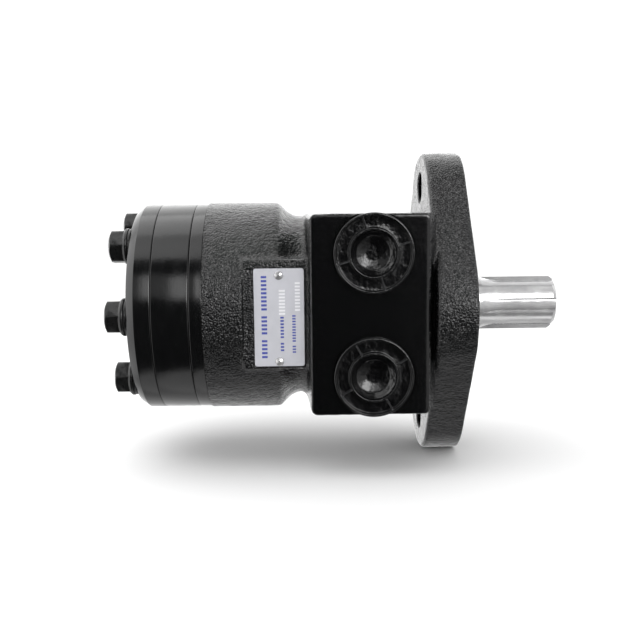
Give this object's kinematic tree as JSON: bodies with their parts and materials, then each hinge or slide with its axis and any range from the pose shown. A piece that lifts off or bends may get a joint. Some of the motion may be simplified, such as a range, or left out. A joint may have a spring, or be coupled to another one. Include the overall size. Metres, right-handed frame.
{
  "type": "hydraulic motor",
  "caption": "Black orbit-type hydraulic motor with an oval mounting flange, two side ports closed by plastic plugs, a splined output shaft and a bolted end cover.",
  "frame": {"origin": "centre of the output shaft's end face", "axes": "+X out of the motor along the shaft, -Y the way the two ports face, +Z along the line of the two flange holes; the mounting face is the plane x = -45 mm"},
  "size_m": [0.1985, 0.11, 0.1372],
  "materials": {
    "painted_casting": "gloss black enamel over a coarse sand-cast skin",
    "painted_turned": "gloss black enamel over turned and machined faces",
    "bright_steel": "bare ground and machined steel, lightly oiled",
    "hardened_steel": "hardened and ground steel",
    "black_fastener": "black-painted fastener steel, a little worn at the corners",
    "nitrile": "matt black nitrile rubber",
    "seal_rubber": "brown fluorocarbon rubber",
    "plug_plastic": "semi-gloss black moulded polyethylene",
    "plate_aluminium": "satin aluminium foil plate with blue print"
  },
  "bodies": {
    "motor_body": {"housing": "painted_casting", "front_cover": "painted_turned", "front_cover_screw_1": "black_fastener", "front_cover_screw_2": "black_fastener", "front_cover_screw_3": "black_fastener", "front_cover_screw_4": "black_fastener", "front_cover_o_ring": "nitrile", "shaft_seal": "seal_rubber", "dust_seal": "nitrile", "thrust_race_front": "hardened_steel", "stator_ring": "painted_turned", "spacer_plate": "painted_turned", "end_cover": "painted_turned", "housing_o_ring": "nitrile", "stator_o_ring_front": "nitrile", "stator_o_ring_rear": "nitrile", "end_cover_bolt_1": "black_fastener", "end_cover_bolt_2": "black_fastener", "end_cover_bolt_3": "black_fastener", "end_cover_bolt_4": "black_fastener", "end_cover_bolt_5": "black_fastener", "end_cover_bolt_6": "black_fastener", "end_cover_bolt_7": "black_fastener", "bolt_washer_1": "black_fastener", "bolt_washer_2": "black_fastener", "bolt_washer_3": "black_fastener", "bolt_washer_4": "black_fastener", "bolt_washer_5": "black_fastener", "bolt_washer_6": "black_fastener", "bolt_washer_7": "black_fastener", "drain_plug": "black_fastener", "drain_plug_o_ring": "nitrile", "nameplate": "plate_aluminium", "nameplate_rivet_1": "plate_aluminium", "nameplate_rivet_2": "plate_aluminium"},
    "shaft": {"output_shaft": "bright_steel", "thrust_race_rear": "hardened_steel"},
    "needle_cage": {"thrust_needle_cage": "hardened_steel"},
    "drive_spacer": {"drive_spacer": "hardened_steel"},
    "rotor": {"rotor": "hardened_steel"},
    "cardan": {"cardan_shaft": "hardened_steel"},
    "check_ball_1": {"check_ball_1": "bright_steel"},
    "check_ball_2": {"check_ball_2": "bright_steel"},
    "port_plug_a": {"port_plug_a": "plug_plastic"},
    "port_plug_b": {"port_plug_b": "plug_plastic"}
  },
  "joints": [
    {"name": "shaft_spin", "type": "hinge", "parent": "motor_body", "child": "shaft", "pos_m": [0, 0, 0], "axis": [1, 0, 0], "continuous": true},
    {"name": "needle_cage_spin", "type": "hinge", "parent": "motor_body", "child": "needle_cage", "pos_m": [-0.05975, 0, 0], "axis": [1, 0, 0], "continuous": true},
    {"name": "rotor_orbit", "type": "hinge", "parent": "motor_body", "child": "drive_spacer", "pos_m": [-0.177, 0, 0], "axis": [1, 0, 0], "continuous": true},
    {"name": "rotor_spin", "type": "hinge", "parent": "drive_spacer", "child": "rotor", "pos_m": [-0.171, -0.00255, 0.00116], "axis": [1, 0, 0], "continuous": true},
    {"name": "cardan_spin", "type": "hinge", "parent": "drive_spacer", "child": "cardan", "pos_m": [-0.12, 0, 0], "axis": [0.9984, 0.0516, -0.0234], "continuous": true},
    {"name": "check_ball_1_lift", "type": "slide", "parent": "motor_body", "child": "check_ball_1", "axis": [-1, 0, 0], "range_m": [0, 0.0011]},
    {"name": "check_ball_2_lift", "type": "slide", "parent": "motor_body", "child": "check_ball_2", "axis": [-1, 0, 0], "range_m": [0, 0.0011]},
    {"name": "port_plug_a_pull", "type": "slide", "parent": "motor_body", "child": "port_plug_a", "axis": [0, -1, 0], "range_m": [0, 0.018]},
    {"name": "port_plug_b_pull", "type": "slide", "parent": "motor_body", "child": "port_plug_b", "axis": [0, -1, 0], "range_m": [0, 0.018]}
  ],
  "couplings": [
    {"joint": "needle_cage_spin", "follows": "shaft_spin", "ratio": 0.5},
    {"joint": "rotor_orbit", "follows": "shaft_spin", "ratio": -6},
    {"joint": "rotor_spin", "follows": "shaft_spin", "ratio": 7},
    {"joint": "cardan_spin", "follows": "shaft_spin", "ratio": 7}
  ]
}
